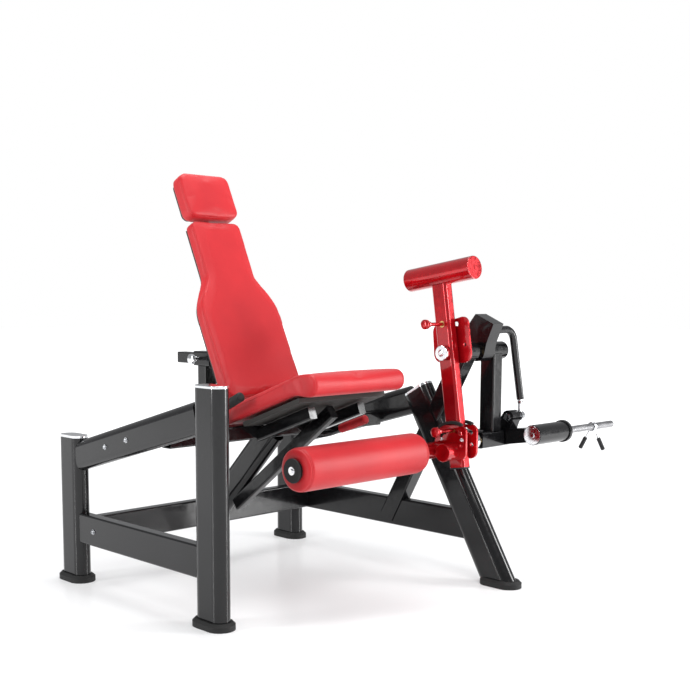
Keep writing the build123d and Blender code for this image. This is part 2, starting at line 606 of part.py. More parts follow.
# --- seat -----------------------------------------------------------------------------------
SEAT_X0 = SEAT_X - SEAT_WIDTH / 2
with BuildPart() as seat_cushion:
    with BuildSketch(Plane.YZ.offset(SEAT_X0)):
        with BuildLine():
            Polyline((112, 591), (-252, 723), (-312, 733))
            ThreePointArc((-312, 733), (-350, 696), (-312, 656))
            Polyline((-312, 656), (-250, 660), (91, 537), (112, 591))
        make_face()
    extrude(amount=SEAT_WIDTH)
save(seat_cushion, "seat_cushion")
board_low, board_high = (2, 560), (-262, 560 + 264 * 123 / 341)
with BuildPart() as seat_board:
    with BuildSketch(Plane.YZ.offset(SEAT_X0 + 14)):
        with BuildLine():
            Polyline(board_low, board_high, (board_high[0] - 5, board_high[1] - 14),
                     (board_low[0] - 5, board_low[1] - 14), close=True)
        make_face()
    extrude(amount=SEAT_WIDTH - 28)
save(seat_board, "seat_board")
with BuildPart() as seat_frame:
    add(tube(side_point(SEAT_X, (262, 232)), side_point(SEAT_X, (-214, 597)), 45, 30, 2.5, oval=False,
             trims=[seat_post_solid, cross_tube_solid]).part)
    stay_end = side_point(SEAT_X, (-214, 597))
    stay_axis = (stay_end - side_point(SEAT_X, (262, 232))).normalized()
    add(solid_bar(stay_end - stay_axis * 4, stay_end, 45, 30, oval=False))
    for x in (SEAT_X - 110, SEAT_X + 110):
        rail_end = side_point(x, (-235, 602))
        rail_axis = (rail_end - side_point(x, (15, 511))).normalized()
        add(tube(side_point(x, (15, 511)), rail_end, 40, 30, 2.5, oval=False, trims=[cross_tube_solid]).part)
        add(solid_bar(rail_end, rail_end + rail_axis * 4, 40, 30, oval=False))
save(seat_frame, "seat_frame")

# --- backrest: carriage on an inclined guide, cushion, headrest -----------------------------
tilt = radians(RECLINE)


def back_point(up, back):
    """(Y, Z) at a height up the backrest's front face and a distance behind it."""
    y = BACK_FOOT[0] + up * sin(tilt) + back * cos(tilt)
    z = BACK_FOOT[1] + up * cos(tilt) - back * sin(tilt)
    return y, z


def back_plane(back):
    """A sketch plane parallel to the backrest: local X along X, local Y up the back."""
    return Plane(origin=side_point(SEAT_X, back_point(0, back)), x_dir=(1, 0, 0),
                 z_dir=(0, -cos(tilt), sin(tilt)))


def back_outline(plane, inset=0):
    """The backrest's outline: a wide lower half that narrows to the shoulders."""
    low, high = 174 - inset, 110 - inset
    with BuildSketch(plane) as outline:
        with BuildLine():
            Spline((low, 300), (low - 8, 345), (high + 12, 425), (high, 470), tangents=((0, 1), (0, 1)))
            Polyline((high, 470), (high, BACK_LENGTH - inset), (-high, BACK_LENGTH - inset), (-high, 470))
            Spline((-low, 300), (-low + 8, 345), (-high - 12, 425), (-high, 470), tangents=((0, 1), (0, 1)))
            Polyline((-low, 300), (-low, inset), (low, inset), (low, 300))
        make_face()
    return outline.sketch


with BuildPart() as backrest_cushion:
    extrude(back_outline(back_plane(BACK_T)), amount=BACK_T)
    side_edges = backrest_cushion.edges().filter_by(GeomType.LINE).filter_by(
        lambda edge: abs(edge.length - BACK_T) < 0.01)
    fillet(side_edges.group_by(Axis.Z)[0], 40)
    side_edges = backrest_cushion.edges().filter_by(GeomType.LINE).filter_by(
        lambda edge: abs(edge.length - BACK_T) < 0.01)
    fillet(side_edges.group_by(Axis.Z)[-1], 26)
save(backrest_cushion, "backrest_cushion")
HEAD_W, HEAD_H, HEAD_T, HEAD_LOW = 222, 172, 64, 670
with BuildPart() as headrest_cushion:
    with BuildSketch(back_plane(HEAD_T - 14)):
        with Locations((0, HEAD_LOW + HEAD_H / 2)):
            RectangleRounded(HEAD_W, HEAD_H, 30)
    extrude(amount=HEAD_T)
    fillet(headrest_cushion.faces().sort_by(Axis.Y)[0].edges(), 10)
save(headrest_cushion, "headrest_cushion")
HEAD_OUT = 14            # the headrest stands this far in front of the backrest
with BuildPart() as back_boards:
    extrude(back_outline(back_plane(BACK_T + 12), inset=16), amount=12)
    with BuildSketch(back_plane(HEAD_T - HEAD_OUT + 10)):
        with Locations((0, HEAD_LOW + HEAD_H / 2)):
            RectangleRounded(HEAD_W - 30, HEAD_H - 30, 20)
    extrude(amount=10)
    with BuildSketch(back_plane(BACK_T + 12)):
        with Locations((0, HEAD_LOW + HEAD_H / 2)):
            Rectangle(40, 90)
    extrude(amount=BACK_T + 12 - (HEAD_T - HEAD_OUT + 10))
save(back_boards, "back_boards")
STEM_W, STEM_D = 50, 30
stem_back = BACK_T + 12 + STEM_D / 2 + CLEAR / 4
STEM_FOOT = 30
with BuildPart() as backrest_stem:
    stem_start, stem_end = back_point(STEM_FOOT, stem_back), back_point(HEAD_LOW + 130, stem_back)
    plane, length = along(side_point(SEAT_X, stem_start), side_point(SEAT_X, stem_end))
    with BuildSketch(plane):
        RectangleRounded(STEM_D, STEM_W, 6)
        RectangleRounded(STEM_D - 5, STEM_W - 5, 2.5, mode=Mode.SUBTRACT)
    extrude(amount=length)
save(backrest_stem, "backrest_stem")
stem_solid = solid_bar(side_point(SEAT_X, stem_start), side_point(SEAT_X, stem_end), STEM_D, STEM_W, oval=False)

# slide tube: carries the stem through the sleeve on the back post
SLIDE_Z, SLIDE = 742, 40
BACK_POST_Y, BACK_POST = 430, 50
stem_at_slide = back_point((SLIDE_Z - BACK_FOOT[1] + stem_back * sin(tilt)) / cos(tilt), stem_back)
with BuildPart() as backrest_slide:
    with BuildSketch(Plane.XZ.offset(-(BACK_POST_Y + 150))):
        with Locations((SEAT_X, SLIDE_Z)):
            RectangleRounded(SLIDE, SLIDE, 4)
            RectangleRounded(SLIDE - 6, SLIDE - 6, 2, mode=Mode.SUBTRACT)
    extrude(amount=BACK_POST_Y + 150 - stem_at_slide[0])
    with BuildSketch(Plane.YZ.offset(SEAT_X - 5)):
        with BuildLine():
            Polyline(stem_at_slide, (stem_at_slide[0] + 96, SLIDE_Z - SLIDE / 2 + 2), back_point(70, stem_back),
                     close=True)
        make_face()
    extrude(amount=10)
    add(stem_solid, mode=Mode.SUBTRACT)
save(backrest_slide, "backrest_slide")
SLEEVE_WALL, SLEEVE_GAP = 6, 0.4
SLEEVE = SLIDE + 2 * (SLEEVE_WALL + SLEEVE_GAP)
back_post_foot = (SEAT_X, BACK_POST_Y, RAIL_Z + (RAIL_H - 4) / 2)
with BuildPart() as back_post:
    with BuildSketch(Plane.XZ.offset(-(BACK_POST_Y + 45))):
        with Locations((SEAT_X, SLIDE_Z)):
            RectangleRounded(SLEEVE, SLEEVE, 6)
            RectangleRounded(SLIDE + 2 * SLEEVE_GAP, SLIDE + 2 * SLEEVE_GAP, 4, mode=Mode.SUBTRACT)
    extrude(amount=90)
    add(cross_cylinder(SEAT_X - 50, SEAT_X, (BACK_POST_Y, SLIDE_Z), 7 + RUN_GAP), mode=Mode.SUBTRACT)
    add(tube(back_post_foot, (SEAT_X, BACK_POST_Y, SLIDE_Z - SLEEVE / 2), BACK_POST, BACK_POST, 3, oval=False,
             trims=[seat_post_solid]).part)
save(back_post, "back_post")
with BuildPart() as back_pin:
    pin_yz = (BACK_POST_Y, SLIDE_Z)
    add(cross_cylinder(SEAT_X - 78, SEAT_X - 64, pin_yz, 19))
    add(cross_cylinder(SEAT_X - 64, SEAT_X - 52, pin_yz, 10))
    add(cross_cylinder(SEAT_X - 52, SEAT_X - SLIDE / 2 - 0.6, pin_yz, 7))
    chamfer(back_pin.faces().sort_by(Axis.X)[0].edges(), 3)
save(back_pin, "back_pin")

# --- hand grips beside the seat ---------------------------------------------------------------
GRIP_R, HANDLE_R = 16, 12
near_route = ((SEAT_X - 125, 85, 500), (SEAT_X - 244, 85, 500), (SEAT_X - 244, 72, 592), (SEAT_X - 244, -50, 648))
far_route = ((SEAT_X + 125, 42, 484), (SEAT_X + 234, 42, 484), (SEAT_X + 234, -136, 548))


def handle(route, radius):
    with BuildPart() as bar:
        with BuildLine():
            FilletPolyline(*route, radius=radius)
        first = Vector(*route[1]) - Vector(*route[0])
        with BuildSketch(Plane(origin=route[0], z_dir=first)):
            Circle(HANDLE_R)
        sweep()
    return bar


def grip(route, length):
    end = Vector(*route[-1])
    back = (Vector(*route[-2]) - end).normalized()
    with BuildPart() as sleeve:
        with BuildSketch(Plane(origin=end - back * 6, z_dir=back)):
            Circle(GRIP_R)
        extrude(amount=length + 6)
        with BuildSketch(Plane(origin=end, z_dir=back)):
            Circle(HANDLE_R)
        extrude(amount=length, mode=Mode.SUBTRACT)
    return sleeve


with BuildPart() as grip_bars:
    add(handle(near_route, 26).part)
    add(handle(far_route, 30).part)
save(grip_bars, "grip_bars")
save(grip(near_route, 96), "near_grip")
save(grip(far_route, 120), "far_grip")

# --- bolts through the frame --------------------------------------------------------------------
BOLT_R = 9
beam_dir = (side_point(0, BEAM_FRONT) - side_point(0, BEAM_REAR)).normalized()
with BuildPart() as frame_bolts:
    for x, side in ((RIGHT_X, -1), (LEFT_X, -1), (LEFT_X, 1)):
        for distance in (150, 275):
            centre = side_point(0, BEAM_REAR) + beam_dir * distance
            face = x + side * BEAM_WIDTH / 2
            add(cross_cylinder(min(face, face + side * 7), max(face, face + side * 7), (centre.Y, centre.Z), BOLT_R))
    for x, side in ((RIGHT_X, -1), (LEFT_X, 1)):
        face = x + side * RAIL_W / 2
        add(cross_cylinder(min(face, face + side * 7), max(face, face + side * 7), (CROSS_RAIL_Y - 30, RAIL_Z), BOLT_R))
save(frame_bolts, "frame_bolts")
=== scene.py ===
"""Looks of the leg extension machine: materials, upholstery and small hardware on the CAD frame."""
import json
import math

import bmesh
import bpy
import numpy as np
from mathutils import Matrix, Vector


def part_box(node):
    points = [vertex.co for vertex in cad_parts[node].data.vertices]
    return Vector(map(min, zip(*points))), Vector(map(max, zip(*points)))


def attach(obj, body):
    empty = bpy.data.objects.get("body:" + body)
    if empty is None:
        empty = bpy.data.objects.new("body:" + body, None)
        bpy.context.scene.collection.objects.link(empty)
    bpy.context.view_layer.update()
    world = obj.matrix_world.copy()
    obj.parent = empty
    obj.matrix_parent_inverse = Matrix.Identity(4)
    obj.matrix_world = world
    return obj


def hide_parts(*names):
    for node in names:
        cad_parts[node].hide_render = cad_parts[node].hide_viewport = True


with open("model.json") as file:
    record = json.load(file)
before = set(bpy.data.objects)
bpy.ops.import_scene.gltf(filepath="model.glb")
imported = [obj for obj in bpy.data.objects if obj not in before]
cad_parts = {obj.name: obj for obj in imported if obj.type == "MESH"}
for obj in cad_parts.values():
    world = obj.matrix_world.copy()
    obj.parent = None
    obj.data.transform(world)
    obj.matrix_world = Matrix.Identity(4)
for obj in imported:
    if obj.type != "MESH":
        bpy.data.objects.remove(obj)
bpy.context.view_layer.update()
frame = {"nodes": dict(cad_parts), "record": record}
record = frame["record"]
MM = 0.001
X_AXIS = Vector((1, 0, 0))


# --- materials ------------------------------------------------------------------------------
COAT_ROUGHNESS = 0.05


def new_material(name, color, roughness, metallic=0.0, coat=0.0, sheen=0.0, specular=0.5):
    """A Principled material with plain values; color is linear red, green and blue."""
    mat = bpy.data.materials.new(name)
    mat.use_nodes = True
    shader = mat.node_tree.nodes["Principled BSDF"]
    shader.inputs["Base Color"].default_value = (*color, 1)
    shader.inputs["Roughness"].default_value = roughness
    shader.inputs["Metallic"].default_value = metallic
    shader.inputs["Coat Weight"].default_value = coat
    shader.inputs["Coat Roughness"].default_value = COAT_ROUGHNESS
    shader.inputs["Sheen Weight"].default_value = sheen
    shader.inputs["Specular IOR Level"].default_value = specular
    return mat


def add_node(mat, kind, **values):
    """A new shader node; each value goes to the input of that name, or else to the property."""
    node = mat.node_tree.nodes.new(kind)
    for key, value in values.items():
        if key in node.inputs:
            node.inputs[key].default_value = value
        else:
            setattr(node, key, value)
    return node


def texture(mat, kind, scale, stretch=(1, 1, 1), **values):
    """A procedural texture in the object's own metres, with its scale in repeats per metre."""
    links = mat.node_tree.links
    coords = add_node(mat, "ShaderNodeTexCoord")
    mapping = add_node(mat, "ShaderNodeMapping")
    mapping.inputs["Scale"].default_value = stretch
    links.new(coords.outputs["Object"], mapping.inputs["Vector"])
    node = add_node(mat, kind, Scale=scale, **values)
    links.new(mapping.outputs["Vector"], node.inputs["Vector"])
    return node


def vary(mat, source, target, low, high, low_in=0.3, high_in=0.7):
    """Drives a number of the shader between low and high from a texture."""
    ramp = add_node(mat, "ShaderNodeMapRange")
    ramp.inputs["From Min"].default_value = low_in
    ramp.inputs["From Max"].default_value = high_in
    ramp.inputs["To Min"].default_value = low
    ramp.inputs["To Max"].default_value = high
    shader = mat.node_tree.nodes["Principled BSDF"]
    mat.node_tree.links.new(source, ramp.inputs["Value"])
    mat.node_tree.links.new(ramp.outputs["Result"], shader.inputs[target])


def tint(mat, source, dark, light, low_in=0.3, high_in=0.7):
    """Drives the base colour between two colours from a texture."""
    ramp = add_node(mat, "ShaderNodeValToRGB")
    ramp.color_ramp.elements[0].position = low_in
    ramp.color_ramp.elements[1].position = high_in
    ramp.color_ramp.elements[0].color = (*dark, 1)
    ramp.color_ramp.elements[1].color = (*light, 1)
    shader = mat.node_tree.nodes["Principled BSDF"]
    mat.node_tree.links.new(source, ramp.inputs["Fac"])
    mat.node_tree.links.new(ramp.outputs["Color"], shader.inputs["Base Color"])


def relief(mat, heights, edge=0.0):
    """Bump layers over edges rounded by edge metres.

    heights lists (texture output, strength, depth in metres), the undermost layer first.
    """
    links = mat.node_tree.links
    normal = None
    if edge:
        bevel = add_node(mat, "ShaderNodeBevel", Radius=edge)
        bevel.samples = 4
        normal = bevel.outputs["Normal"]
    for source, strength, depth in heights:
        bump = add_node(mat, "ShaderNodeBump", Strength=strength, Distance=depth)
        links.new(source, bump.inputs["Height"])
        if normal:
            links.new(normal, bump.inputs["Normal"])
        normal = bump.outputs["Normal"]
    links.new(normal, mat.node_tree.nodes["Principled BSDF"].inputs["Normal"])


def paint(name, dark, light, metallic, coat, edge=1.2 * MM):
    """Stoved gloss paint with a faint orange peel and dust."""
    mat = new_material(name, light, 0.2, metallic=metallic, coat=coat, specular=0.3)
    cloud = texture(mat, "ShaderNodeTexNoise", 7, Detail=3)
    peel = texture(mat, "ShaderNodeTexNoise", 420, Detail=2)
    dust = texture(mat, "ShaderNodeTexNoise", 60, Detail=6)
    tint(mat, cloud.outputs["Fac"], dark, light)
    vary(mat, dust.outputs["Fac"], "Roughness", 0.12, 0.27)
    relief(mat, [(peel.outputs["Fac"], 0.06, 0.4 * MM)], edge)
    return mat


def vinyl(name, dark, light):
    """Upholstery vinyl: pebbled grain, fine pores, soft folds and slight fading."""
    mat = new_material(name, light, 0.42, sheen=0.12, specular=0.42)
    mat.node_tree.nodes["Principled BSDF"].inputs["Sheen Roughness"].default_value = 0.4
    grain = texture(mat, "ShaderNodeTexVoronoi", 420, feature="SMOOTH_F1", Smoothness=0.4)
    pores = texture(mat, "ShaderNodeTexNoise", 1500, Detail=3)
    folds = texture(mat, "ShaderNodeTexNoise", 16, Detail=3, Distortion=0.4)
    fade = texture(mat, "ShaderNodeTexNoise", 5, Detail=4)
    tint(mat, fade.outputs["Fac"], dark, light, 0.25, 0.75)
    vary(mat, grain.outputs["Distance"], "Roughness", 0.36, 0.52, 0.0, 0.7)
    relief(mat, [(folds.outputs["Fac"], 0.16, 3 * MM), (grain.outputs["Distance"], 0.22, 0.5 * MM),
                 (pores.outputs["Fac"], 0.12, 0.15 * MM)])
    return mat


def rubber(name, dark, light, grain=500):
    """Matt rubber or moulded plastic with a fine grain, in repeats per metre."""
    mat = new_material(name, light, 0.62, specular=0.35)
    cloud = texture(mat, "ShaderNodeTexNoise", 30, Detail=5)
    fine = texture(mat, "ShaderNodeTexNoise", grain, Detail=4)
    tint(mat, cloud.outputs["Fac"], dark, light)
    vary(mat, cloud.outputs["Fac"], "Roughness", 0.5, 0.74)
    relief(mat, [(fine.outputs["Fac"], 0.3, 0.3 * MM)], 1.5 * MM)
    return mat


def metal(name, dark, light, rough_low, rough_high, lines=(1, 1, 1), edge=0.6 * MM):
    """Bare or plated metal whose fine lines run along the axis with the smallest stretch."""
    mat = new_material(name, light, rough_low, metallic=1.0)
    brushed = texture(mat, "ShaderNodeTexNoise", 260, lines, Detail=5)
    smear = texture(mat, "ShaderNodeTexNoise", 22, Detail=4)
    tint(mat, smear.outputs["Fac"], dark, light)
    vary(mat, brushed.outputs["Fac"], "Roughness", rough_low, rough_high)
    relief(mat, [(brushed.outputs["Fac"], 0.05, 0.2 * MM)], edge)
    return mat


def board(name):
    """Black-stained plywood seen from behind and below the pads."""
    mat = new_material(name, (0.02, 0.018, 0.016), 0.6)
    grain = texture(mat, "ShaderNodeTexNoise", 30, (1, 1, 14), Detail=7, Distortion=0.6)
    tint(mat, grain.outputs["Fac"], (0.012, 0.011, 0.01), (0.035, 0.031, 0.027))
    vary(mat, grain.outputs["Fac"], "Roughness", 0.5, 0.75)
    relief(mat, [(grain.outputs["Fac"], 0.25, 0.4 * MM)], 1 * MM)
    return mat


LOOKS = {       # slot: maker, darkest and lightest colour, and what else the maker asks for
    "frame_gloss": (paint, (0.003, 0.003, 0.0035), (0.006, 0.006, 0.007), 0.0, 0.3),
    "red_gloss": (paint, (0.34, 0.002, 0.006), (0.5, 0.004, 0.01), 0.55, 0.8, 0.9 * MM),
    "red_vinyl": (vinyl, (0.46, 0.008, 0.014), (0.58, 0.013, 0.019)),
    "red_grip": (rubber, (0.36, 0.006, 0.012), (0.5, 0.01, 0.016)),
    "black_rubber": (rubber, (0.01, 0.01, 0.01), (0.022, 0.022, 0.022)),
    "chrome": (metal, (0.66, 0.67, 0.69), (0.82, 0.83, 0.85), 0.07, 0.16),
    "bright_steel": (metal, (0.42, 0.43, 0.45), (0.6, 0.61, 0.63), 0.2, 0.38, (0.06, 1, 1)),
    "bronze_bush": (metal, (0.4, 0.26, 0.1), (0.58, 0.4, 0.17), 0.25, 0.42),
    "board": (board,),
    "black_plastic": (rubber, (0.012, 0.012, 0.013), (0.028, 0.028, 0.03), 900),
    "bar_grey": (metal, (0.3, 0.3, 0.31), (0.42, 0.42, 0.43), 0.22, 0.4, (0.05, 1, 1)),
}
materials = {name: maker(name, *values) for name, (maker, *values) in LOOKS.items()}
slot_of = {entry["node"]: entry["material_slot"] for entry in record["subparts"]}
body_of_node = {node: body for body, nodes in record["behaviour"]["bodies"].items()
                for node in nodes}
for node, obj in frame["nodes"].items():
    obj.data.materials.clear()
    obj.data.materials.append(materials[slot_of[node]])


# --- mesh helpers ---------------------------------------------------------------------------
def finish_piece(obj, slot, body, *replaced):
    """Gives a piece its material and its body, in place of the CAD nodes it replaces."""
    obj.data.materials.clear()
    obj.data.materials.append(materials[slot])
    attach(obj, body)
    if replaced:
        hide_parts(*replaced)
    return obj


def link_mesh(name, bm, sharp=35):
    """A new object from bm, shaded smooth except at edges of more than sharp degrees."""
    mesh = bpy.data.meshes.new(name)
    bmesh.ops.recalc_face_normals(bm, faces=bm.faces)
    bm.to_mesh(mesh)
    bm.free()
    mesh.shade_smooth()
    mesh.set_sharp_from_angle(angle=math.radians(sharp))
    obj = bpy.data.objects.new(name, mesh)
    bpy.context.collection.objects.link(obj)
    return obj


def turned(bm, start, axis, profile, sides=48, phase=0.0):
    """Adds a closed turned solid: profile is (distance along axis, radius), ends filled."""
    axis = axis.normalized()
    across = axis.orthogonal().normalized()
    up = axis.cross(across)
    rings = []
    for distance, radius in profile:
        ring = []
        for k in range(sides):
            angle = math.tau * k / sides + phase
            spoke = across * math.cos(angle) + up * math.sin(angle)
            ring.append(bm.verts.new(start + axis * distance + spoke * radius))
        rings.append(ring)
    for low, high in zip(rings, rings[1:]):
        for k in range(sides):
            bm.faces.new((low[k], low[(k + 1) % sides], high[(k + 1) % sides], high[k]))
    bm.faces.new(rings[0][::-1])
    bm.faces.new(rings[-1])


def socket_screw(bm, seat, outward, radius, height):
    """A washer and a domed cap screw with a round recess, standing on seat."""
    washer, under_head = 1.35 * radius, 0.24 * height
    turned(bm, seat, outward,
           [(0, washer), (0.18 * height, washer), (under_head, washer - 0.4 * MM)])
    dome = [(under_head, radius), (0.66 * height, radius), (0.84 * height, 0.9 * radius),
            (0.96 * height, 0.7 * radius), (height, 0.52 * radius), (0.62 * height, 0.47 * radius)]
    turned(bm, seat, outward, dome, sides=36)


def hex_nut(bm, seat, outward, across, height):
    """A chamfered nut, across its flats wide."""
    corner = across / math.sqrt(3)
    turned(bm, seat, outward, [(0, 0.93 * corner), (0.1 * height, corner), (0.9 * height, corner),
                               (height, 0.93 * corner)], sides=6)


def tube_along(name, points, radius, closed=False):
    """A smooth round bead through points."""
    curve = bpy.data.curves.new(name, "CURVE")
    curve.dimensions = "3D"
    spline = curve.splines.new("POLY")
    spline.points.add(len(points) - 1)
    for target, point in zip(spline.points, points):
        target.co = (*point, 1)
    spline.use_cyclic_u = closed
    curve.bevel_depth = radius
    curve.bevel_resolution = 3
    curve.use_fill_caps = not closed
    temp = bpy.data.objects.new(name, curve)
    bpy.context.collection.objects.link(temp)
    bpy.context.view_layer.update()
    mesh = bpy.data.meshes.new_from_object(temp)
    bpy.data.objects.remove(temp)
    mesh.shade_smooth()
    mesh.set_sharp_from_angle(angle=math.radians(50))
    obj = bpy.data.objects.new(name, mesh)
    bpy.context.collection.objects.link(obj)
    return obj


def vertex_array(mesh, attribute):
    """Every vertex's co or normal, one row for each."""
    values = np.empty(len(mesh.vertices) * 3)
    mesh.vertices.foreach_get(attribute, values)
    return values.reshape(-1, 3)


def corners_of(node):
    return vertex_array(frame["nodes"][node].data, "co")


def middle_of(node):
    """The centre of a node's box."""
    low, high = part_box(node)
    return (low + high) / 2


def islands(node):
    """(lowest, highest) corner of each separate solid of a node."""
    mesh = frame["nodes"][node].data
    keys = [tuple(round(c * 1e5) for c in v.co) for v in mesh.vertices]    # alike within 0.01 mm
    parent = {key: key for key in keys}

    def root(key):
        while parent[key] != key:
            parent[key] = parent[parent[key]]
            key = parent[key]
        return key

    for face in mesh.polygons:
        first = root(keys[face.vertices[0]])
        for index in face.vertices:
            parent[root(keys[index])] = first
    groups = {}
    for key, vertex in zip(keys, mesh.vertices):
        groups.setdefault(root(key), []).append(vertex.co)
    solids = [np.array(group) for group in groups.values()]
    boxes = [(Vector(points.min(0)), Vector(points.max(0))) for points in solids]
    return sorted(boxes, key=lambda pair: tuple(round(c, 4) for c in pair[0]))


def axis_ends(node):
    """The two end points of a straight round node's centre line, and its radius."""
    points = corners_of(node)
    centre = (points.min(0) + points.max(0)) / 2
    offsets = points - points.mean(0)
    direction = np.linalg.svd(offsets, full_matrices=False)[2][0]
    along = (points - centre) @ direction
    radius = np.linalg.norm((points - centre) - np.outer(along, direction), axis=1).max()
    first, second = centre + direction * along.min(), centre + direction * along.max()
    return Vector(first), Vector(second), float(radius)


# --- upholstery -----------------------------------------------------------------------------
VOXEL = 5 * MM                  # size of the remeshed pads' faces
ROUNDING, SETTLING = 8, 12      # smoothing passes before and after the simulation
CLOTH_FRAMES = 20
CLOTH = {
    "quality": 4, "mass": 0.4, "use_pressure": True, "uniform_pressure_force": 4.0,
    "tension_stiffness": 30, "compression_stiffness": 30, "shear_stiffness": 20,
    "bending_stiffness": 25,
}
SEAM_REACH, SEAM_DEPTH = 7 * MM, 1.6 * MM       # how far a seam pulls: beside it, and inwards
WELT_RADIUS = 1.1 * MM
STITCH_OFFSET, STITCH_PITCH, STITCH_LENGTH = 5 * MM, 6 * MM, 4 * MM
STITCH = [(0, 0.25 * MM), (0.8 * MM, 0.55 * MM),
          (STITCH_LENGTH - 0.8 * MM, 0.55 * MM), (STITCH_LENGTH, 0.25 * MM)]


def apply_modifiers(obj):
    """Puts what the modifiers show into the object's mesh."""
    bpy.context.view_layer.update()
    graph = bpy.context.evaluated_depsgraph_get()
    mesh = bpy.data.meshes.new_from_object(obj.evaluated_get(graph))
    obj.modifiers.clear()
    obj.data = mesh


def modifier(obj, kind, **values):
    mod = obj.modifiers.new(kind.title(), kind)
    for key, value in values.items():
        setattr(mod, key, value)
    return mod


def inflate(obj, held):
    """Blows a closed mesh up by a cloth simulation in which the held points stay put."""
    group = obj.vertex_groups.new(name="held")
    group.add([v.index for v in obj.data.vertices if held(v.co, v.normal)], 1.0, "REPLACE")
    cloth = modifier(obj, "CLOTH")
    for key, value in CLOTH.items():
        setattr(cloth.settings, key, value)
    cloth.settings.effector_weights.gravity = 0
    cloth.settings.vertex_group_mass = "held"
    cloth.collision_settings.use_collision = False
    cloth.point_cache.frame_start = 1
    cloth.point_cache.frame_end = CLOTH_FRAMES
    for step in range(1, CLOTH_FRAMES + 1):
        bpy.context.scene.frame_set(step)
    apply_modifiers(obj)
    bpy.context.scene.frame_set(1)


def cushion(name, node, inset, cap, held):
    """A stuffed pad from a CAD node's solid: rounded, shrunk by inset, then blown up.

    held(point, normal) says which points rest on the board. No point moves further than cap.
    """
    obj = bpy.data.objects.new(name, frame["nodes"][node].data.copy())
    bpy.context.collection.objects.link(obj)
    modifier(obj, "WELD", merge_threshold=0.02 * MM)
    modifier(obj, "REMESH", mode="VOXEL", voxel_size=VOXEL)
    modifier(obj, "SMOOTH", factor=0.5, iterations=ROUNDING)
    modifier(obj, "DISPLACE", strength=-inset, mid_level=0)
    apply_modifiers(obj)
    rest = vertex_array(obj.data, "co")
    inflate(obj, held)
    moved = vertex_array(obj.data, "co") - rest
    length = np.linalg.norm(moved, axis=1)
    limit = np.minimum(1.0, cap / np.maximum(length, 1e-9))
    obj.data.vertices.foreach_set("co", (rest + moved * limit[:, None]).ravel())
    obj.data.update()
    modifier(obj, "SMOOTH", factor=0.5, iterations=SETTLING)
    modifier(obj, "SUBSURF", levels=1, render_levels=1)
    apply_modifiers(obj)
    obj.data.shade_smooth()
    return obj


def groove(obj, point, normal):
    """Draws the surface in along a plane, where a seam pulls the cover down."""
    places, outward = vertex_array(obj.data, "co"), vertex_array(obj.data, "normal")
    distance = np.abs((places - np.array(point)) @ np.array(normal))
    distance = np.minimum(distance / SEAM_REACH, 1)
    places -= outward * (SEAM_DEPTH * (0.5 + 0.5 * np.cos(math.pi * distance)))[:, None]
    obj.data.vertices.foreach_set("co", places.ravel())
    obj.data.update()


def seam_loop(obj, point, normal):
    """The longest closed line where a plane cuts the pad, as ordered points."""
    mesh = obj.data
    places = vertex_array(mesh, "co")
    ends = np.empty(len(mesh.edges) * 2, int)
    mesh.edges.foreach_get("vertices", ends)
    ends = ends.reshape(-1, 2)
    height = (places - np.array(point)) @ np.array(normal)
    first, second = height[ends[:, 0]], height[ends[:, 1]]
    crosses = (first > 0) != (second > 0)
    neighbours = {}
    loop_edges = np.empty(len(mesh.loops), int)
    mesh.loops.foreach_get("edge_index", loop_edges)
    for face in mesh.polygons:
        edges = loop_edges[face.loop_start:face.loop_start + face.loop_total]
        cut = [edge for edge in edges if crosses[edge]]
        if len(cut) == 2:
            neighbours.setdefault(cut[0], []).append(cut[1])
            neighbours.setdefault(cut[1], []).append(cut[0])
    loops, left = [], dict.fromkeys(sorted(neighbours))
    while left:
        current = next(iter(left))
        chain = []
        while current is not None:
            del left[current]
            a, b = ends[current]
            share = height[a] / (height[a] - height[b])
            chain.append(Vector(places[a] + (places[b] - places[a]) * share))
            current = next((e for e in neighbours[current] if e in left), None)
        loops.append(chain)
    return max(loops, key=len)


def stitched_seam(name, obj, point, normal, body):
    """A sunk welt where two panels meet, with a row of stitches beside it."""
    normal = normal.normalized()
    groove(obj, point, normal)
    path = seam_loop(obj, point, normal)[::2]
    welt = tube_along(name + "_welt", path, WELT_RADIUS, closed=True)
    finish_piece(welt, "red_vinyl", body)
    row = seam_loop(obj, point + normal * STITCH_OFFSET, normal)
    bm = bmesh.new()
    travelled = 0.0
    for first, second in zip(row, row[1:] + row[:1]):
        step = (second - first).length
        travelled += step
        if travelled >= STITCH_PITCH and step > 0.1 * MM:
            travelled = 0.0
            along = (second - first).normalized()
            turned(bm, first - along * STITCH_LENGTH / 2, along, STITCH, sides=6)
    stitches = link_mesh(name + "_stitches", bm, 80)
    finish_piece(stitches, "red_vinyl", body)


RECLINE = math.radians(25.3)        # of the backrest, from upright
BACK_OUT = Vector((0, -math.cos(RECLINE), math.sin(RECLINE)))      # out of the backrest's face
INTO_BOARD = -0.75      # a point rests on its board where its normal points this far into it
NOSE_Y = -0.29          # the seat hangs free of its board in front of this


def furthest(node, direction):
    """How far a node reaches along a direction."""
    return float((corners_of(node) @ np.array(direction)).max())


def on_back_board(_point, normal):
    return normal.dot(BACK_OUT) < INTO_BOARD


seat_low, seat_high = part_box("seat_cushion")
seat = cushion("seat_pad", "seat_cushion", 3 * MM, 7 * MM,
               lambda point, normal: normal.z < INTO_BOARD and point.y > NOSE_Y)
for side, x, inwards in (("right", seat_low.x, 1), ("left", seat_high.x, -1)):
    seam_at = Vector((x + inwards * 9 * MM, 0, 0))
    stitched_seam(f"seat_seam_{side}", seat, seam_at, X_AXIS * inwards, "frame")
finish_piece(seat, "red_vinyl", "frame", "seat_cushion")

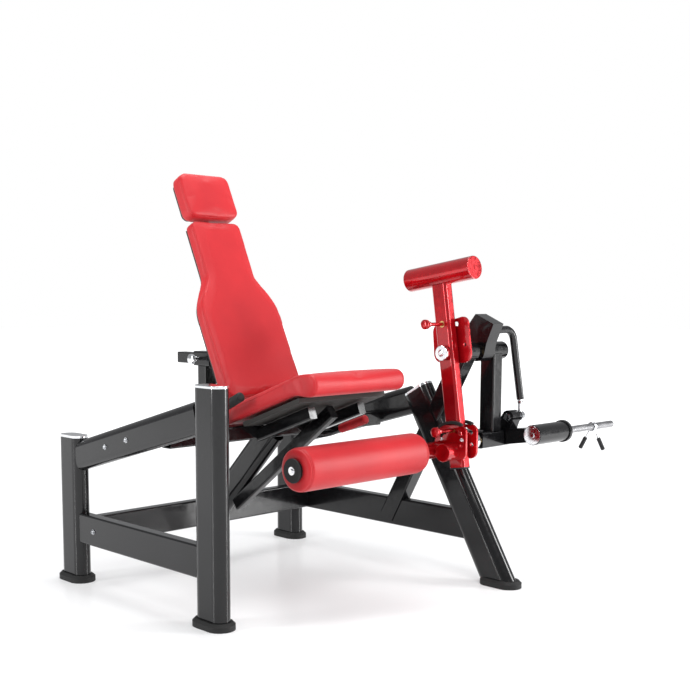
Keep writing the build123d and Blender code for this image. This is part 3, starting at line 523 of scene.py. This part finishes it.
back = cushion("back_pad", "backrest_cushion", 3 * MM, 7 * MM, on_back_board)
seam_at = BACK_OUT * (furthest("backrest_cushion", BACK_OUT) - 12 * MM)
stitched_seam("back_seam", back, seam_at, BACK_OUT, "backrest")
finish_piece(back, "red_vinyl", "backrest", "backrest_cushion")

head = cushion("head_pad", "headrest_cushion", 2 * MM, 5 * MM, on_back_board)
seam_at = BACK_OUT * (furthest("headrest_cushion", BACK_OUT) - 14 * MM)
stitched_seam("head_seam", head, seam_at, BACK_OUT, "backrest")
finish_piece(head, "red_vinyl", "backrest", "headrest_cushion")

roller_low, roller_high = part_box("roller_pad")
roller_axis = (roller_low + roller_high) / 2
sleeve_low, sleeve_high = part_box("roller_sleeve")
core = (sleeve_high.z - sleeve_low.z) / 2


def on_core(point, _normal):
    return math.hypot(point.y - roller_axis.y, point.z - roller_axis.z) < core + 4 * MM


roller = cushion("shin_pad", "roller_pad", 3 * MM, 4 * MM, on_core)
for side, x, inwards in (("outer", roller_low.x, 1), ("inner", roller_high.x, -1)):
    seam_at = Vector((x + inwards * 15 * MM, 0, 0))
    stitched_seam(f"shin_seam_{side}", roller, seam_at, X_AXIS * inwards, "roller")
finish_piece(roller, "red_vinyl", "roller", "roller_pad")

# --- hand grips -------------------------------------------------------------------------------
RIB_PITCH = 7 * MM
FIRST_RIB, PLAIN_ENDS = 6 * MM, 16 * MM     # where the ribs begin, and what they leave free

for node in ("near_grip", "far_grip"):
    first, second, radius = axis_ends(node)
    if first.z > second.z:
        first, second = second, first
    length = (second - first).length
    crest, valley = radius - 0.4 * MM, radius - 1.6 * MM
    count = int(length / RIB_PITCH)
    step = (length - PLAIN_ENDS) / count
    profile = [(0, radius - 4 * MM), (0.4 * MM, radius - 0.6 * MM), (5 * MM, crest)]
    for k in range(count):
        base = FIRST_RIB + k * step
        profile += [(base, valley), (base + 0.25 * step, crest),
                    (base + 0.65 * step, crest), (base + 0.9 * step, valley)]
    profile += [(length - 9 * MM, crest), (length - 4 * MM, crest),
                (length - 1.2 * MM, radius - 3 * MM), (length, radius - 7 * MM)]
    bm = bmesh.new()
    turned(bm, first, second - first, profile, 56)
    finish_piece(link_mesh(node + "_ribbed", bm, 50), slot_of[node], "frame", node)

# --- pull pins --------------------------------------------------------------------------------
for node, shank, knob_end in (("start_pin", 6 * MM, 16 * MM), ("shin_pin", 6 * MM, 16 * MM),
                              ("back_pin", 7 * MM, 14 * MM)):
    low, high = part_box(node)
    centre = (low + high) / 2
    length, knob = high.x - low.x, (high.z - low.z) / 2
    profile = [(0, knob * 0.55), (1.2 * MM, knob * 0.8), (4 * MM, knob),                # crown
               (knob_end - 6 * MM, knob), (knob_end - 4.5 * MM, knob - 1.4 * MM),       # groove
               (knob_end - 3 * MM, knob), (knob_end - 1 * MM, knob - 0.6 * MM),
               (knob_end, 10 * MM), (knob_end + 5 * MM, 9 * MM),                        # barrel
               (knob_end + 12 * MM, 10 * MM), (knob_end + 13 * MM, shank),
               (length - 1 * MM, shank), (length, shank - 1 * MM)]
    bm = bmesh.new()
    turned(bm, Vector((low.x, centre.y, centre.z)), X_AXIS, profile, 40)
    finish_piece(link_mesh(node + "_knob", bm, 32), slot_of[node], body_of_node[node], node)


# --- bolts ------------------------------------------------------------------------------------
def screws(node, middles, radius):
    """Socket screws for a node's bolt heads, each facing away from the middle nearest to it."""
    bm = bmesh.new()
    for low, high in islands(node):
        centre = (low + high) / 2
        middle = min(middles, key=lambda x: abs(x - centre.x))
        side = -1 if centre.x < middle else 1
        foot = Vector((high.x if side < 0 else low.x, centre.y, centre.z))
        socket_screw(bm, foot, X_AXIS * side, radius, high.x - low.x)
    return bm


rail_middles = [middle_of(rail).x for rail in ("right_lower_rail", "left_lower_rail")]
bm = screws("frame_bolts", rail_middles, 6.6 * MM)
finish_piece(link_mesh("frame_screws", bm), "bright_steel", "frame", "frame_bolts")

bm = screws("sector_bolts", [middle_of("shin_sector").x], 5.2 * MM)
finish_piece(link_mesh("sector_screws", bm), "chrome", "shin_carrier", "sector_bolts")

# the screw in the middle of the knee shaft's cap lies within the cap's own outline
pivot = middle_of("knee_housings")
bm = bmesh.new()
turned(bm, Vector((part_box("knee_shaft")[0].x, pivot.y, pivot.z)), X_AXIS,
       [(3 * MM, 4.2 * MM), (0, 5.2 * MM), (0.6 * MM, 8.2 * MM), (3.6 * MM, 8.8 * MM),
        (4 * MM, 12 * MM), (4.3 * MM, 12.4 * MM)], 36)
finish_piece(link_mesh("knee_cap_screw", bm), "chrome", "crank")

centre = middle_of("roller_bolt")
face = Vector((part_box("roller_bolt")[1].x, centre.y, centre.z))
bm = bmesh.new()
turned(bm, face, -X_AXIS, [(0, 13 * MM), (1.4 * MM, 13 * MM), (2 * MM, 12.4 * MM)], 44)
hex_nut(bm, face - X_AXIS * 2 * MM, -X_AXIS, 14 * MM, 4.6 * MM)
finish_piece(link_mesh("roller_washer_bolt", bm), "chrome", "shin_carrier", "roller_bolt")

# --- rod end ----------------------------------------------------------------------------------
nut_seat = Vector((middle_of("rod_end").x, middle_of("arm_bolt").y,
                   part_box("rod_end")[1].z - 16 * MM))
bm = bmesh.new()
hex_nut(bm, nut_seat, Vector((0, 0, 1)), 20 * MM, 10 * MM)
finish_piece(link_mesh("rod_end_locknut", bm), "chrome", "link")

# --- spring collar ----------------------------------------------------------------------------
WIRE, TURNS, STEPS = 2.4 * MM, 4, 28            # radius of the wire, turns, points to a turn
LEG_A, LEG_B = math.radians(-62), math.radians(-118)
LEG_RADII = (88 * MM, 60 * MM, 32 * MM)         # points of a leg, from its end to the coil
RIDGE_PITCH, RIDGES = 6.2 * MM, 6
bar_low, bar_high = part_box("horn_bar")
bar = middle_of("horn_bar")
coil_r = (bar_high.z - bar_low.z) / 2 + WIRE + 0.3 * MM
coil_x0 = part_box("spring_collar")[0].x + 6.5 * MM
coil_x1 = coil_x0 + 12 * MM


def around_bar(x, angle, radius):
    return Vector((x, bar.y + radius * math.cos(angle), bar.z + radius * math.sin(angle)))


leg_places = ((coil_x0 - 1 * MM, LEG_A), (coil_x1 + 1 * MM, LEG_B))
path = [around_bar(*leg_places[0], radius) for radius in LEG_RADII]
turn_total = TURNS * math.tau + (LEG_A - LEG_B)
for k in range(TURNS * STEPS + 1):
    share = k / (TURNS * STEPS)
    x = coil_x0 + (coil_x1 - coil_x0) * share
    path.append(around_bar(x, LEG_A - turn_total * share, coil_r))
path += [around_bar(*leg_places[1], radius) for radius in LEG_RADII[::-1]]
finish_piece(tube_along("collar_coil", path, WIRE), "chrome", "collar", "spring_collar")

bm = bmesh.new()
for x, angle in leg_places:
    inner, outer = around_bar(x, angle, 46 * MM), around_bar(x, angle, 94 * MM)
    length = (outer - inner).length
    profile = [(0, 5.2 * MM), (2 * MM, 7.4 * MM)]
    for k in range(RIDGES):
        base = 5 * MM + k * RIDGE_PITCH
        profile += [(base, 7.6 * MM), (base + 1.4 * MM, 6.8 * MM), (base + 2.6 * MM, 7.6 * MM)]
    profile += [(length - 3 * MM, 7.6 * MM), (length - 1 * MM, 6.2 * MM), (length, 4 * MM)]
    turned(bm, inner, outer - inner, profile, 32)
finish_piece(link_mesh("collar_grips", bm, 40), "black_plastic", "collar")

# --- floor, light and camera --------------------------------------------------------------------
floor_mat = new_material("floor", (0.88, 0.88, 0.885), 0.2, specular=0.3)
speck = texture(floor_mat, "ShaderNodeTexNoise", 3, Detail=3)
vary(floor_mat, speck.outputs["Fac"], "Roughness", 0.16, 0.26)
floor_shader = floor_mat.node_tree.nodes["Principled BSDF"]
floor_shader.inputs["Emission Color"].default_value = (1, 1, 1, 1)
floor_coords = add_node(floor_mat, "ShaderNodeTexCoord")
reach = add_node(floor_mat, "ShaderNodeVectorMath", operation="LENGTH")
floor_mat.node_tree.links.new(floor_coords.outputs["Object"], reach.inputs[0])
# the floor glows with the distance from its middle, in metres, so that it ends in white
vary(floor_mat, reach.outputs["Value"], "Emission Strength", 0.22, 0.95, 1.2, 5.0)
bpy.ops.mesh.primitive_plane_add(size=60, location=(0, 0, 0))
floor = bpy.context.object
floor.name = "floor"
floor.data.materials.append(floor_mat)

# the room's light is soft and cool, and the camera sees plain white behind the machine
world = bpy.data.worlds.new("studio")
bpy.context.scene.world = world
world.use_nodes = True
tree = world.node_tree
backdrop = tree.nodes["Background"]
backdrop.inputs["Color"].default_value = (1, 1, 1, 1)
backdrop.inputs["Strength"].default_value = 1.0
room = tree.nodes.new("ShaderNodeBackground")
room.inputs["Color"].default_value = (0.97, 0.98, 1, 1)
room.inputs["Strength"].default_value = 0.42
path_kind = tree.nodes.new("ShaderNodeLightPath")
chooser = tree.nodes.new("ShaderNodeMixShader")
tree.links.new(path_kind.outputs["Is Camera Ray"], chooser.inputs["Fac"])
tree.links.new(room.outputs["Background"], chooser.inputs[1])
tree.links.new(backdrop.outputs["Background"], chooser.inputs[2])
tree.links.new(chooser.outputs["Shader"], tree.nodes["World Output"].inputs["Surface"])
bpy.context.scene.view_settings.view_transform = "Standard"


def softbox(name, place, target, width, height, power):
    """A rectangular lamp at place, in watts, turned to target."""
    light = bpy.data.lights.new(name, "AREA")
    light.shape = "RECTANGLE"
    light.size, light.size_y = width, height
    light.energy = power
    obj = bpy.data.objects.new(name, light)
    obj.location = place
    obj.rotation_euler = (Vector(target) - Vector(place)).to_track_quat("-Z", "Y").to_euler()
    bpy.context.collection.objects.link(obj)


MIDDLE = (0, 0, 0.6)
softbox("key", (-1.6, -3.0, 3.6), MIDDLE, 2.2, 1.6, 62)
softbox("left_strip", (-4.2, 1.4, 1.6), MIDDLE, 0.7, 2.6, 70)
softbox("right_strip", (2.6, -3.2, 1.4), MIDDLE, 0.9, 2.6, 120)
softbox("top", (0.2, 0.4, 4.2), MIDDLE, 2.6, 2.6, 105)

FOCAL, CENTRE_X, CENTRE_Y = 1070.98, 307.19, 419.33     # of the lens, in units of the width
WIDTH, HEIGHT = 690, 678
SENSOR = 36
PITCH, HEADING = 6.334, 43.325                          # degrees down, and from +Y towards +X
camera_data = bpy.data.cameras.new("camera")
camera_data.sensor_width = SENSOR
camera_data.lens = FOCAL / WIDTH * SENSOR
camera_data.shift_x = (WIDTH / 2 - CENTRE_X) / WIDTH
camera_data.shift_y = (CENTRE_Y - HEIGHT / 2) / WIDTH
camera = bpy.data.objects.new("camera", camera_data)
camera.location = (-2.706, -2.634, 0.950)
camera.rotation_euler = (math.radians(90 - PITCH), 0, math.radians(-HEADING))
bpy.context.collection.objects.link(camera)
bpy.context.scene.camera = camera
